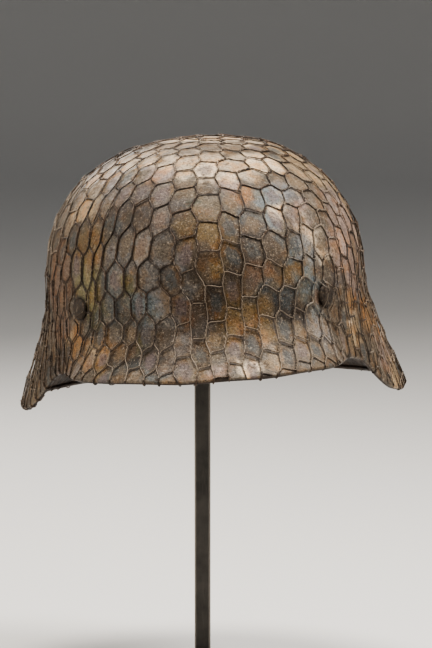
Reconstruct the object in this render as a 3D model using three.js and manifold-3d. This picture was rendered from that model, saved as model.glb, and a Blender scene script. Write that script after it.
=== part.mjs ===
// Steel combat helmet under wire netting, resting on a plain display stand.
// Millimetres, +Z up. The visor points to -Y and the wearer's left is +X.
// The origin is the centre of the base plate's underside.
import * as THREE from 'three';
import { mergeVertices } from 'three/addons/utils/BufferGeometryUtils.js';
import Module from 'manifold-3d';

const wasm = await Module();
wasm.setup();

// Driving dimensions of the shell, in its own frame: its origin is on the crown's axis,
// at the height of the visor's rim.
const DOME = { halfWidth: 95.5, halfLength: 117, top: 128.5, fullness: 2.34 };
const WALL = 1.3;
const RIM_BEAD_RADIUS = 1.5;

// Sections of the shell from the middle of the visor (0 degrees) to the middle of the back (180),
// the same on both sides. rimRadius is the rim's distance from the crown's axis, rimHeight its height,
// waist the height where the flare leaves the dome, and pull how far down the flare stays upright.
const SECTIONS = [
  { azimuth: 0, rimRadius: 140, rimHeight: 1.5, waist: 40, pull: 0.5 },
  { azimuth: 32, rimRadius: 130, rimHeight: 1.5, waist: 40, pull: 0.5 },
  { azimuth: 50, rimRadius: 108.5, rimHeight: 1, waist: 39, pull: 0.45 },
  { azimuth: 59, rimRadius: 104.5, rimHeight: -2, waist: 39, pull: 0.4 },
  { azimuth: 70, rimRadius: 107, rimHeight: -15, waist: 40, pull: 0.3 },
  { azimuth: 80, rimRadius: 111.5, rimHeight: -25, waist: 40, pull: 0.25 },
  { azimuth: 92, rimRadius: 116, rimHeight: -28.5, waist: 40, pull: 0.22 },
  { azimuth: 105, rimRadius: 122, rimHeight: -28.5, waist: 40, pull: 0.25 },
  { azimuth: 125, rimRadius: 131, rimHeight: -28.5, waist: 40, pull: 0.35 },
  { azimuth: 150, rimRadius: 142.5, rimHeight: -29, waist: 40, pull: 0.45 },
  { azimuth: 180, rimRadius: 147.5, rimHeight: -28, waist: 40, pull: 0.5 },
];

const AROUND_STEPS = 54;
const DOME_STEPS = 12;
const FLARE_STEPS = 7;
const BEAD_STEPS = 5;

// The wall bows a little under a rivet's flat head and washer, so each has room for that as well.
const CLEARANCE = 0.3;
const WALL_BOW = 0.3;
const RIVET = {
  headRadius: 6.2, headHeight: 2.8, headEdge: 0.5,
  shankRadius: 2.5,
  washerRadius: 5, washer: 0.9,
};
const RIVET_HOLE_RADIUS = RIVET.shankRadius + CLEARANCE;
const RIVET_SIDES = 14;
const RIVET_PLACES = [
  { name: 'rivet_front_left', azimuth: 41.5, height: 38 },
  { name: 'rivet_front_right', azimuth: -41.5, height: 38 },
  { name: 'rivet_rear', azimuth: 180, height: 38 },
];

const VENT = { azimuth: 82, height: 62, holeRadius: 2.6, ringRadius: 5.6, crest: 0.6, root: 0.7 };
const VENT_SIDES = 12;

// The netting, as a skin of crossing strips with hexagonal gaps.
const NET = { cellWidth: 36, stripWidth: 1.8, thickness: 1, standOff: 1.3, rivetGap: 0.8 };
const NET_REACH_CELLS = 8;

// The stand. The helmet sits slightly rolled on it, its left side higher, as it is shown.
const BASE = { side: 150, thickness: 8, cornerRadius: 5, chamfer: 1.2 };
const POST = { side: 9.5, chamfer: 0.9 };
const REST = { radius: 32, undersideHeight: 330, sides: 36 };
const VISOR_RIM_HEIGHT = 215;
const SHELL_SHIFT_X = 4.4;
const SHELL_ROLL_DEGREES = -3.3;

const toRadians = THREE.MathUtils.degToRad;

const STEEL_PAINT = new THREE.MeshStandardMaterial({ color: 0x7a6650, roughness: 0.8, metalness: 0.3 });
const NET_WIRE = new THREE.MeshStandardMaterial({ color: 0x8a6f52, roughness: 0.75, metalness: 0.6 });
const RIVET_STEEL = new THREE.MeshStandardMaterial({ color: 0x4a3a2c, roughness: 0.7, metalness: 0.6 });
const STAND_STEEL = new THREE.MeshStandardMaterial({ color: 0x2a2928, roughness: 0.45, metalness: 0.8 });

// A smooth curve through the sections' values of one name, without overshoot, even about the middle.
function smoothColumn(name) {
  const half = SECTIONS.map((row) => ({ at: row.azimuth, value: row[name] }));
  const left = half.slice(1, -1).map((row) => ({ at: -row.at, value: row.value })).reverse();
  const turn = [...left, ...half];
  const rows = [-360, 0, 360].flatMap((shift) => (
    turn.map((row) => ({ at: row.at + shift, value: row.value }))
  ));
  const slopes = rows.slice(1).map((row, i) => (row.value - rows[i].value) / (row.at - rows[i].at));
  const tangents = rows.map((row, i) => {
    if (i === 0 || i === rows.length - 1) return 0;
    const before = slopes[i - 1];
    const after = slopes[i];
    return before * after > 0 ? (2 * before * after) / (before + after) : 0;
  });
  return (azimuth) => {
    const i = rows.findIndex((row, k) => k > 0 && row.at >= azimuth) - 1;
    const span = rows[i + 1].at - rows[i].at;
    const s = (azimuth - rows[i].at) / span;
    return (2 * s ** 3 - 3 * s ** 2 + 1) * rows[i].value
      + (s ** 3 - 2 * s ** 2 + s) * span * tangents[i]
      + (3 * s ** 2 - 2 * s ** 3) * rows[i + 1].value
      + (s ** 3 - s ** 2) * span * tangents[i + 1];
  };
}

const rimRadiusAt = smoothColumn('rimRadius');
const rimHeightAt = smoothColumn('rimHeight');
const waistAt = smoothColumn('waist');
const pullAt = smoothColumn('pull');

// A point of the shell's outer face. down runs from 0 at the crown to 1 at the waist and 2 at the rim.
function skinPoint(azimuth, down) {
  const angle = toRadians(azimuth);
  const waist = waistAt(azimuth);
  const waistRadius = 1 / Math.hypot(Math.cos(angle) / DOME.halfLength, Math.sin(angle) / DOME.halfWidth);
  let radius;
  let height;
  if (down <= 1) {
    const swing = down * Math.PI / 2;
    const power = 2 / DOME.fullness;
    radius = waistRadius * Math.sin(swing) ** power;
    height = waist + (DOME.top - waist) * Math.max(0, Math.cos(swing)) ** power;
  } else {
    const u = down - 1;
    const rimHeight = rimHeightAt(azimuth);
    const control = waist - pullAt(azimuth) * (waist - rimHeight);
    radius = (1 - u * u) * waistRadius + u * u * rimRadiusAt(azimuth);
    height = (1 - u) ** 2 * waist + 2 * u * (1 - u) * control + u * u * rimHeight;
  }
  return new THREE.Vector3(radius * Math.sin(angle), -radius * Math.cos(angle), height);
}

const SLOPE_TURN = 0.5;
const SLOPE_DOWN = 0.01;

function alongRim(azimuth, down) {
  return skinPoint(azimuth + SLOPE_TURN, down).sub(skinPoint(azimuth - SLOPE_TURN, down)).normalize();
}

function skinNormal(azimuth, down) {
  if (down < SLOPE_DOWN) return new THREE.Vector3(0, 0, 1);
  const lower = Math.min(2, down + SLOPE_DOWN);
  const downward = skinPoint(azimuth, lower).sub(skinPoint(azimuth, down - SLOPE_DOWN));
  return downward.cross(alongRim(azimuth, down)).normalize();
}

function offsetPoint(azimuth, down, offset) {
  return skinPoint(azimuth, down).addScaledVector(skinNormal(azimuth, down), offset);
}

// Where the outer face is at a height, above the flare's foot, at one azimuth.
function downAtHeight(azimuth, height) {
  let low = 0;
  let high = 2;
  while (high - low > 1e-6) {
    const middle = (low + high) / 2;
    if (skinPoint(azimuth, middle).z > height) low = middle;
    else high = middle;
  }
  return low;
}

function meshFromPoints(points, index) {
  const geometry = new THREE.BufferGeometry();
  const numbers = points.flatMap((point) => point.toArray());
  geometry.setAttribute('position', new THREE.Float32BufferAttribute(numbers, 3));
  geometry.setIndex(index);
  return geometry;
}

// A closed mesh from a top pole, rings of points below each other and a bottom pole.
function meshFromRings(top, rings, bottom) {
  const points = [top, ...rings.flat(), bottom];
  const count = rings[0].length;
  const index = [];
  const at = (ring, i) => 1 + ring * count + (i % count);
  for (let i = 0; i < count; i += 1) {
    index.push(0, at(0, i), at(0, i + 1));
    index.push(points.length - 1, at(rings.length - 1, i + 1), at(rings.length - 1, i));
    for (let ring = 0; ring < rings.length - 1; ring += 1) {
      index.push(at(ring, i), at(ring + 1, i), at(ring + 1, i + 1));
      index.push(at(ring, i), at(ring + 1, i + 1), at(ring, i + 1));
    }
  }
  return meshFromPoints(points, index);
}

function toSolid(geometry, matrix = new THREE.Matrix4()) {
  let bare = geometry.clone().applyMatrix4(matrix);
  bare.deleteAttribute('normal');
  bare.deleteAttribute('uv');
  bare = mergeVertices(bare);
  return new wasm.Manifold(new wasm.Mesh({
    numProp: 3,
    vertProperties: new Float32Array(bare.attributes.position.array),
    triVerts: new Uint32Array(bare.index.array),
  }));
}

function toGeometry(solid) {
  const mesh = solid.getMesh();
  const geometry = new THREE.BufferGeometry();
  geometry.setAttribute('position', new THREE.BufferAttribute(new Float32Array(mesh.vertProperties), 3));
  geometry.setIndex(new THREE.BufferAttribute(new Uint32Array(mesh.triVerts), 1));
  return geometry;
}

// The turn and place of a thing that stands on the shell's outer face, its own +Z pointing out,
// square to the chords of the face across its footprint.
function seatOnSkin(azimuth, height, footprint) {
  const place = skinPoint(azimuth, downAtHeight(azimuth, height));
  const spread = THREE.MathUtils.radToDeg(footprint / Math.hypot(place.x, place.y));
  const spot = (turn, rise) => skinPoint(azimuth + turn, downAtHeight(azimuth + turn, height + rise));
  const downward = spot(0, -footprint).sub(spot(0, footprint));
  const around = spot(spread, 0).sub(spot(-spread, 0));
  const normal = downward.cross(around).normalize();
  const turn = new THREE.Quaternion().setFromUnitVectors(new THREE.Vector3(0, 0, 1), normal);
  return new THREE.Matrix4().compose(place, turn, new THREE.Vector3(1, 1, 1));
}

function uprightCylinder(radius, low, high, sides) {
  const geometry = new THREE.CylinderGeometry(radius, radius, high - low, sides);
  return geometry.rotateX(Math.PI / 2).translate(0, 0, (low + high) / 2);
}

function lathe(profile, sides) {
  const points = profile.map(([radius, height]) => new THREE.Vector2(radius, height));
  return new THREE.LatheGeometry(points, sides).rotateX(Math.PI / 2);
}

const AROUND = Array.from({ length: AROUND_STEPS }, (_, i) => (i * 360) / AROUND_STEPS - 180);
const DOWN = [
  ...Array.from({ length: DOME_STEPS }, (_, i) => (i + 1) / DOME_STEPS),
  ...Array.from({ length: FLARE_STEPS }, (_, i) => 1 + (i + 1) / FLARE_STEPS),
];

// The rolled rim's section is a bead that starts along the outer face and ends on the inner one.
function beadRing(step) {
  const sweep = (2 * Math.PI - Math.acos(1 - WALL / RIM_BEAD_RADIUS)) * (step / BEAD_STEPS);
  return AROUND.map((azimuth) => {
    const normal = skinNormal(azimuth, 2);
    const outward = normal.clone().cross(alongRim(azimuth, 2)).negate();
    return offsetPoint(azimuth, 2, -RIM_BEAD_RADIUS)
      .addScaledVector(normal, RIM_BEAD_RADIUS * Math.cos(sweep))
      .addScaledVector(outward, RIM_BEAD_RADIUS * Math.sin(sweep));
  });
}

function bareShell() {
  const outer = DOWN.map((down) => AROUND.map((azimuth) => skinPoint(azimuth, down)));
  const bead = Array.from({ length: BEAD_STEPS }, (_, i) => beadRing(i + 1));
  const inner = DOWN.slice(0, -1).reverse().map((down) => AROUND.map((a) => offsetPoint(a, down, -WALL)));
  const crown = new THREE.Vector3(0, 0, DOME.top);
  return meshFromRings(crown, [...outer, ...bead, ...inner], new THREE.Vector3(0, 0, DOME.top - WALL));
}

// A low stamped ring round each vent hole, its root sunk in the wall.
function ventRing() {
  const middle = (VENT.holeRadius + VENT.ringRadius) / 2;
  return lathe([
    [VENT.holeRadius, -VENT.root],
    [VENT.ringRadius, -VENT.root],
    [VENT.ringRadius, 0],
    [middle, VENT.crest],
    [VENT.holeRadius, VENT.crest / 2],
    [VENT.holeRadius, -VENT.root],
  ], VENT_SIDES);
}

function makeShell() {
  const reach = 4 * WALL;
  let shell = toSolid(bareShell());
  for (const side of [-1, 1]) {
    const seat = seatOnSkin(side * VENT.azimuth, VENT.height, VENT.ringRadius);
    shell = shell.add(toSolid(ventRing(), seat));
    shell = shell.subtract(toSolid(uprightCylinder(VENT.holeRadius, -reach, reach, VENT_SIDES), seat));
  }
  for (const place of RIVET_PLACES) {
    const seat = seatOnSkin(place.azimuth, place.height, RIVET.headRadius);
    shell = shell.subtract(toSolid(uprightCylinder(RIVET_HOLE_RADIUS, -reach, reach, RIVET_SIDES), seat));
  }
  return toGeometry(shell);
}

// A domed head outside, a shank through the wall, and the flat washer end inside.
function rivetGeometry() {
  const inside = -WALL - WALL_BOW - CLEARANCE;
  const outside = WALL_BOW + CLEARANCE;
  const arc = [0, 0.25, 0.5, 0.75].map((share) => {
    const angle = share * Math.PI / 2;
    const crest = RIVET.headHeight - RIVET.headEdge;
    return [RIVET.headRadius * Math.cos(angle), outside + RIVET.headEdge + crest * Math.sin(angle)];
  });
  return lathe([
    [0, inside - RIVET.washer],
    [RIVET.washerRadius, inside - RIVET.washer],
    [RIVET.washerRadius, inside],
    [RIVET.shankRadius, inside],
    [RIVET.shankRadius, outside],
    [RIVET.headRadius, outside],
    ...arc,
    [0, outside + RIVET.headHeight],
  ], RIVET_SIDES);
}

// How far it is along the outer face from the crown to each step down, at one azimuth.
const ARC_STEPS = 40;
const arcTables = new Map();
function arcTable(azimuth) {
  if (!arcTables.has(azimuth)) {
    const table = [0];
    let last = skinPoint(azimuth, 0);
    for (let i = 1; i <= ARC_STEPS; i += 1) {
      const next = skinPoint(azimuth, (2 * i) / ARC_STEPS);
      table.push(table[i - 1] + next.distanceTo(last));
      last = next;
    }
    arcTables.set(azimuth, table);
  }
  return arcTables.get(azimuth);
}

// The flat sheet's point (x, y) laid over the dome: same azimuth, same distance from the crown.
function layOver(x, y, offset) {
  const azimuth = THREE.MathUtils.radToDeg(Math.atan2(x, -y));
  const distance = Math.hypot(x, y);
  const table = arcTable(azimuth);
  const found = table.findIndex((value) => value >= distance);
  const i = found < 0 ? ARC_STEPS : Math.max(1, found);
  const share = Math.min(1, (distance - table[i - 1]) / (table[i] - table[i - 1]));
  return offsetPoint(azimuth, (2 * (i - 1 + share)) / ARC_STEPS, offset);
}

function beyondRim(x, y) {
  return Math.hypot(x, y) > arcTable(THREE.MathUtils.radToDeg(Math.atan2(x, -y)))[ARC_STEPS];
}

// The crossings of the flat hexagonal net and the strips between them. Each strip ends at a crossing
// or, where it runs over the rim, in a free end.
function flatNet() {
  const side = NET.cellWidth / Math.sqrt(3);
  const crossings = new Map();
  const strips = [];
  const crossing = (x, y) => {
    const key = `${Math.round(x * 10)},${Math.round(y * 10)}`;
    if (!crossings.has(key)) crossings.set(key, { x, y, strips: [], out: beyondRim(x, y) });
    return crossings.get(key);
  };
  const seen = new Set();
  const join = (a, b) => {
    const key = [a, b].map((end) => `${end.x.toFixed(1)},${end.y.toFixed(1)}`).sort().join(' ');
    if (seen.has(key) || (a.out && b.out)) return;
    seen.add(key);
    if (!a.out && !b.out) {
      strips.push({ from: a, to: b });
      return;
    }
    const [inside, outside] = a.out ? [b, a] : [a, b];
    let low = 0;
    let high = 1;
    while (high - low > 1e-4) {
      const middle = (low + high) / 2;
      const x = inside.x + (outside.x - inside.x) * middle;
      const y = inside.y + (outside.y - inside.y) * middle;
      if (beyondRim(x, y)) high = middle;
      else low = middle;
    }
    const end = {
      x: inside.x + (outside.x - inside.x) * low,
      y: inside.y + (outside.y - inside.y) * low,
      free: true,
    };
    strips.push({ from: inside, to: end });
  };
  for (let row = -NET_REACH_CELLS; row <= NET_REACH_CELLS; row += 1) {
    for (let column = -NET_REACH_CELLS; column <= NET_REACH_CELLS; column += 1) {
      const x = (column + (Math.abs(row) % 2) / 2) * NET.cellWidth;
      const y = row * 1.5 * side;
      const corners = Array.from({ length: 6 }, (_, i) => {
        const angle = Math.PI / 2 + i * Math.PI / 3;
        return crossing(x + side * Math.cos(angle), y + side * Math.sin(angle));
      });
      corners.forEach((corner, i) => join(corner, corners[(i + 1) % 6]));
    }
  }
  return strips;
}

// The netting as one skin: a small triangle at each crossing and a four-sided strip along each wire.
function netGeometry() {
  const half = NET.stripWidth / 2;
  const points = [];
  const index = [];
  const put = (x, y) => {
    points.push(layOver(x, y, NET.standOff + NET.thickness), layOver(x, y, NET.standOff));
    return points.length - 2;
  };
  const strips = flatNet();
  for (const strip of strips) {
    strip.ends = [strip.from, strip.to].map((end, i) => {
      const other = i === 0 ? strip.to : strip.from;
      const spoke = { angle: Math.atan2(other.y - end.y, other.x - end.x) };
      if (!end.free) end.strips.push(spoke);
      return spoke;
    });
  }
  const crossings = new Set(strips.flatMap((strip) => [strip.from, strip.to]));
  for (const spot of crossings) {
    if (!spot.free) {
      spot.strips.sort((a, b) => a.angle - b.angle);
      const corners = spot.strips.map((spoke, i) => {
        const next = spot.strips[(i + 1) % spot.strips.length];
        const gap = (next.angle - spoke.angle + 2 * Math.PI) % (2 * Math.PI);
        const middle = spoke.angle + gap / 2;
        const reach = half / Math.sin(gap / 2);
        const corner = put(spot.x + reach * Math.cos(middle), spot.y + reach * Math.sin(middle));
        spoke.left = corner;
        next.right = corner;
        return corner;
      });
      index.push(corners[0], corners[1], corners[2]);
      index.push(corners[0] + 1, corners[2] + 1, corners[1] + 1);
    }
  }
  for (const strip of strips) {
    const [start, finish] = strip.ends;
    if (strip.to.free) {
      finish.left = put(
        strip.to.x - half * Math.sin(finish.angle),
        strip.to.y + half * Math.cos(finish.angle),
      );
      finish.right = put(
        strip.to.x + half * Math.sin(finish.angle),
        strip.to.y - half * Math.cos(finish.angle),
      );
      index.push(finish.left, finish.left + 1, finish.right + 1);
      index.push(finish.left, finish.right + 1, finish.right);
    }
    const walls = [[start.right, finish.left], [finish.right, start.left]];
    index.push(start.left, start.right, finish.left, start.left, finish.left, finish.right);
    index.push(start.left + 1, finish.left + 1, start.right + 1);
    index.push(start.left + 1, finish.right + 1, finish.left + 1);
    for (const [a, b] of walls) index.push(a, a + 1, b + 1, a, b + 1, b);
  }
  return meshFromPoints(points, index);
}

function makeNetting() {
  let net = toSolid(netGeometry());
  for (const place of RIVET_PLACES) {
    const radius = RIVET.headRadius + NET.rivetGap;
    const room = uprightCylinder(radius, -2 * WALL, 3 * RIVET.headHeight, RIVET_SIDES);
    net = net.subtract(toSolid(room, seatOnSkin(place.azimuth, place.height, RIVET.headRadius)));
  }
  return toGeometry(net);
}

const shellPlace = new THREE.Matrix4().compose(
  new THREE.Vector3(SHELL_SHIFT_X, 0, VISOR_RIM_HEIGHT),
  new THREE.Quaternion().setFromAxisAngle(new THREE.Vector3(0, 1, 0), toRadians(SHELL_ROLL_DEGREES)),
  new THREE.Vector3(1, 1, 1),
);

// A round rest whose top follows the inside of the crown and whose underside is level.
function makeCrownRest() {
  const rings = DOWN.filter((down) => down <= 1).map((down) => (
    AROUND.map((azimuth) => offsetPoint(azimuth, down, -WALL - CLEARANCE))
  ));
  const crown = new THREE.Vector3(0, 0, DOME.top - WALL - CLEARANCE);
  const hollow = meshFromRings(crown, rings, new THREE.Vector3(0, 0, waistAt(0)));
  const top = VISOR_RIM_HEIGHT + DOME.top;
  const drum = toSolid(uprightCylinder(REST.radius, REST.undersideHeight, top, REST.sides));
  return toGeometry(drum.intersect(toSolid(hollow, shellPlace)));
}

function makePost() {
  const half = POST.side / 2;
  const flat = half - POST.chamfer;
  const section = new THREE.Shape([
    [flat, -half], [half, -flat], [half, flat], [flat, half],
    [-flat, half], [-half, flat], [-half, -flat], [-flat, -half],
  ].map(([x, y]) => new THREE.Vector2(x, y)));
  const length = REST.undersideHeight - BASE.thickness;
  return new THREE.ExtrudeGeometry(section, { depth: length, bevelEnabled: false })
    .translate(0, 0, BASE.thickness);
}

function makeBase() {
  const half = BASE.side / 2 - BASE.chamfer;
  const inner = half - BASE.cornerRadius;
  const outline = new THREE.Shape();
  outline.absarc(inner, inner, BASE.cornerRadius, 0, Math.PI / 2);
  outline.absarc(-inner, inner, BASE.cornerRadius, Math.PI / 2, Math.PI);
  outline.absarc(-inner, -inner, BASE.cornerRadius, Math.PI, 1.5 * Math.PI);
  outline.absarc(inner, -inner, BASE.cornerRadius, 1.5 * Math.PI, 2 * Math.PI);
  return new THREE.ExtrudeGeometry(outline, {
    depth: BASE.thickness - 2 * BASE.chamfer,
    bevelEnabled: true,
    bevelThickness: BASE.chamfer,
    bevelSize: BASE.chamfer,
    bevelSegments: 1,
    curveSegments: 2,
  }).translate(0, 0, BASE.chamfer);
}

function named(name, geometry, material) {
  const mesh = new THREE.Mesh(geometry, material);
  mesh.name = name;
  return mesh;
}

const helmet = new THREE.Group();
helmet.position.set(SHELL_SHIFT_X, 0, VISOR_RIM_HEIGHT);
helmet.rotation.y = toRadians(SHELL_ROLL_DEGREES);
helmet.add(named('shell', makeShell(), STEEL_PAINT));
helmet.add(named('netting', makeNetting(), NET_WIRE));
for (const place of RIVET_PLACES) {
  const rivet = named(place.name, rivetGeometry(), RIVET_STEEL);
  const seat = seatOnSkin(place.azimuth, place.height, RIVET.headRadius);
  seat.decompose(rivet.position, rivet.quaternion, rivet.scale);
  helmet.add(rivet);
}

const group = new THREE.Group();
group.add(helmet);
group.add(named('crown_rest', makeCrownRest(), STAND_STEEL));
group.add(named('post', makePost(), STAND_STEEL));
group.add(named('base_plate', makeBase(), STAND_STEEL));

export default group;
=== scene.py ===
"""A worn steel combat helmet under wire netting, resting on a plain post and base plate."""

import math

import bpy
import numpy as np
from mathutils import Matrix, Vector


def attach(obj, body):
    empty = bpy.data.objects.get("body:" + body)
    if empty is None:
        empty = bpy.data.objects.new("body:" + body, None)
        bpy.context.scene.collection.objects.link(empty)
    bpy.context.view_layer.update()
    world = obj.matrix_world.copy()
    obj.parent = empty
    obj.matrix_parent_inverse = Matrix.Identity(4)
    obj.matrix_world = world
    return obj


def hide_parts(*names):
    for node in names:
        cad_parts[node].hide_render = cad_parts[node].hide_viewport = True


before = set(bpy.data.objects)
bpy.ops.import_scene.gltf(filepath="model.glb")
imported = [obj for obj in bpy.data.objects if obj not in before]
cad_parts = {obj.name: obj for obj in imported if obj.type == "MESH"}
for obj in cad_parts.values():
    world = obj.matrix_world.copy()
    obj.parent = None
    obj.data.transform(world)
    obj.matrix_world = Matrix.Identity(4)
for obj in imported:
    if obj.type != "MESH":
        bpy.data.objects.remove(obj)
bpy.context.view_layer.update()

# Lengths in the tables are millimetres in the helmet's own frame: its origin is on the crown's
# axis at the height of the visor's rim, the visor points to -Y and the wearer's left is +X.
MM = 0.001

DOME = {"half_width": 95.5, "half_length": 117.0, "top": 128.5, "fullness": 2.34}
WALL = 1.3
BEAD_RADIUS = 1.5
HELMET_SHIFT = (4.4, 0.0, 215.0)
HELMET_ROLL_DEGREES = -3.3

# Sections of the shell from the middle of the visor to the middle of the back, the same on both sides.
SECTION_COLUMNS = ("azimuth", "rim_radius", "rim_height", "waist", "pull")
SECTIONS = (
    (0, 140.0, 1.5, 40, 0.50),
    (32, 130.0, 1.5, 40, 0.50),
    (50, 108.5, 1.0, 39, 0.45),
    (59, 104.5, -2.0, 39, 0.40),
    (70, 107.0, -15.0, 40, 0.30),
    (80, 111.5, -25.0, 40, 0.25),
    (92, 116.0, -28.5, 40, 0.22),
    (105, 122.0, -28.5, 40, 0.25),
    (125, 131.0, -28.5, 40, 0.35),
    (150, 142.5, -29.0, 40, 0.45),
    (180, 147.5, -28.0, 40, 0.50),
)

RIVET = {
    "head_radius": 6.2, "head_height": 2.8, "head_edge": 0.5,
    "shank_radius": 2.5, "washer_radius": 5.0, "washer": 0.9, "gap": 0.6,
}
RIVET_HOLE_RADIUS = 2.8
RIVET_PLACES = (
    ("rivet_front_left", 41.5, 38.0),
    ("rivet_front_right", -41.5, 38.0),
    ("rivet_rear", 180.0, 38.0),
)
VENT = {"azimuth": 82.0, "height": 62.0, "hole_radius": 2.6, "ring_radius": 5.6, "crest": 0.6, "root": 0.7}

helmet_place = (
    Matrix.Translation(Vector(HELMET_SHIFT) * MM)
    @ Matrix.Rotation(math.radians(HELMET_ROLL_DEGREES), 4, "Y")
    @ Matrix.Scale(MM, 4)
)


# The shell's outer face

def smooth_column(name):
    """A curve through one column of SECTIONS, without overshoot and even about the middle."""
    column = SECTION_COLUMNS.index(name)
    at = [row[0] for row in SECTIONS]
    value = [row[column] for row in SECTIONS]
    at = [-x for x in at[-2:0:-1]] + at
    value = value[-2:0:-1] + value
    at = np.concatenate([np.array(at, float) + turn for turn in (-360, 0, 360)])
    value = np.array(value * 3, float)
    slope = np.diff(value) / np.diff(at)
    tangent = np.zeros(len(value))
    before, after = slope[:-1], slope[1:]
    same = before * after > 0
    tangent[1:-1][same] = 2 * before[same] * after[same] / (before[same] + after[same])

    def curve(azimuth):
        i = np.clip(np.searchsorted(at, azimuth) - 1, 0, len(at) - 2)
        span = at[i + 1] - at[i]
        s = (azimuth - at[i]) / span
        return (
            (2 * s**3 - 3 * s**2 + 1) * value[i]
            + (s**3 - 2 * s**2 + s) * span * tangent[i]
            + (3 * s**2 - 2 * s**3) * value[i + 1]
            + (s**3 - s**2) * span * tangent[i + 1]
        )

    return curve


rim_radius_at = smooth_column("rim_radius")
rim_height_at = smooth_column("rim_height")
waist_at = smooth_column("waist")
pull_at = smooth_column("pull")


def skin_point(azimuth, down):
    """Points of the outer face. down runs from 0 at the crown to 1 at the waist and 2 at the rim."""
    angle = np.radians(azimuth)
    waist = waist_at(azimuth)
    waist_radius = 1 / np.hypot(np.cos(angle) / DOME["half_length"], np.sin(angle) / DOME["half_width"])
    swing = np.clip(down, 0, 1) * np.pi / 2
    power = 2 / DOME["fullness"]
    dome_radius = waist_radius * np.sin(swing) ** power
    dome_height = waist + (DOME["top"] - waist) * np.maximum(0, np.cos(swing)) ** power
    u = np.clip(down - 1, 0, 1)
    rim_height = rim_height_at(azimuth)
    control = waist - pull_at(azimuth) * (waist - rim_height)
    flare_radius = (1 - u * u) * waist_radius + u * u * rim_radius_at(azimuth)
    flare_height = (1 - u) ** 2 * waist + 2 * u * (1 - u) * control + u * u * rim_height
    radius = np.where(down <= 1, dome_radius, flare_radius)
    height = np.where(down <= 1, dome_height, flare_height)
    return np.stack([radius * np.sin(angle), -radius * np.cos(angle), height], -1)


def unit(vectors):
    return vectors / np.maximum(np.linalg.norm(vectors, axis=-1, keepdims=True), 1e-12)


# The steps over which the face's slope is taken, and how near the crown that is still done.
SLOPE_TURN = 0.5
SLOPE_DOWN = 0.01
NEAR_CROWN = 0.002


def along_skin(azimuth, down):
    return skin_point(azimuth + SLOPE_TURN, down) - skin_point(azimuth - SLOPE_TURN, down)


def skin_normal(azimuth, down):
    below = skin_point(azimuth, np.minimum(2, down + SLOPE_DOWN))
    above = skin_point(azimuth, np.maximum(NEAR_CROWN, down - SLOPE_DOWN))
    normal = unit(np.cross(below - above, along_skin(azimuth, np.maximum(down, SLOPE_DOWN))))
    return np.where((down < SLOPE_DOWN)[..., None], np.array([0.0, 0.0, 1.0]), normal)


# The bead is swept from the outer face round under the rim to the inner face.
BEAD_SWEEP = 2 * math.pi - math.acos(1 - WALL / BEAD_RADIUS)
BEAD_LENGTH = BEAD_RADIUS * BEAD_SWEEP
BEAD_END = BEAD_RADIUS * math.sin(math.acos(1 - WALL / BEAD_RADIUS))


def bead_point(azimuth, sweep):
    """Points and outward directions round the rolled rim."""
    at_rim = np.full_like(azimuth, 2.0)
    normal = skin_normal(azimuth, at_rim)
    outward = -np.cross(normal, unit(along_skin(azimuth, at_rim)))
    direction = normal * np.cos(sweep)[..., None] + outward * np.sin(sweep)[..., None]
    centre = skin_point(azimuth, at_rim) - BEAD_RADIUS * normal
    return centre + BEAD_RADIUS * direction, direction


# Meridians: the way down from the crown over the rim and a little up the inside, at even steps.
MERIDIANS = 720
OUTER_STEPS = 240
ROUND_STEPS = 24
INSIDE_STEPS = 18
FINE_STEPS = 900

meridian_azimuth = np.linspace(-180, 180, MERIDIANS + 1)
fine_down = np.linspace(0, 2, FINE_STEPS + 1)


def measure_meridians():
    azimuth, down = np.meshgrid(meridian_azimuth, fine_down, indexing="ij")
    points = skin_point(azimuth, down)
    steps = np.linalg.norm(np.diff(points, axis=1), axis=-1)
    arc = np.concatenate([np.zeros((len(points), 1)), np.cumsum(steps, axis=1)], axis=1)
    order = np.hypot(points[..., 0], points[..., 1]) - points[..., 2]
    return arc, order


fine_arc, fine_order = measure_meridians()
rim_arc = fine_arc[:, -1]


def down_at_arc(arc):
    return np.array([np.interp(row, fine_arc[i], fine_down) for i, row in enumerate(arc)])


def meridian_tables():
    outer = down_at_arc(np.linspace(0, 1, OUTER_STEPS + 1)[None, :] * rim_arc[:, None])
    inner = down_at_arc(rim_arc[:, None] - BEAD_END - np.arange(1, INSIDE_STEPS + 1)[None, :])
    sweep = np.linspace(0, BEAD_SWEEP, ROUND_STEPS + 1)[1:]
    around_outer = np.repeat(meridian_azimuth[:, None], outer.shape[1], 1)
    around_inner = np.repeat(meridian_azimuth[:, None], inner.shape[1], 1)
    around_bead, sweep = np.meshgrid(meridian_azimuth, sweep, indexing="ij")
    bead, bead_out = bead_point(around_bead, sweep)
    outer_normal = skin_normal(around_outer, outer)
    inner_normal = skin_normal(around_inner, inner)
    inner_points = skin_point(around_inner, inner) - WALL * inner_normal
    points = np.concatenate([skin_point(around_outer, outer), bead, inner_points], 1)
    normals = np.concatenate([outer_normal, bead_out, -inner_normal], 1)
    return points, normals


meridian_points, meridian_normals = meridian_tables()


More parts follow.
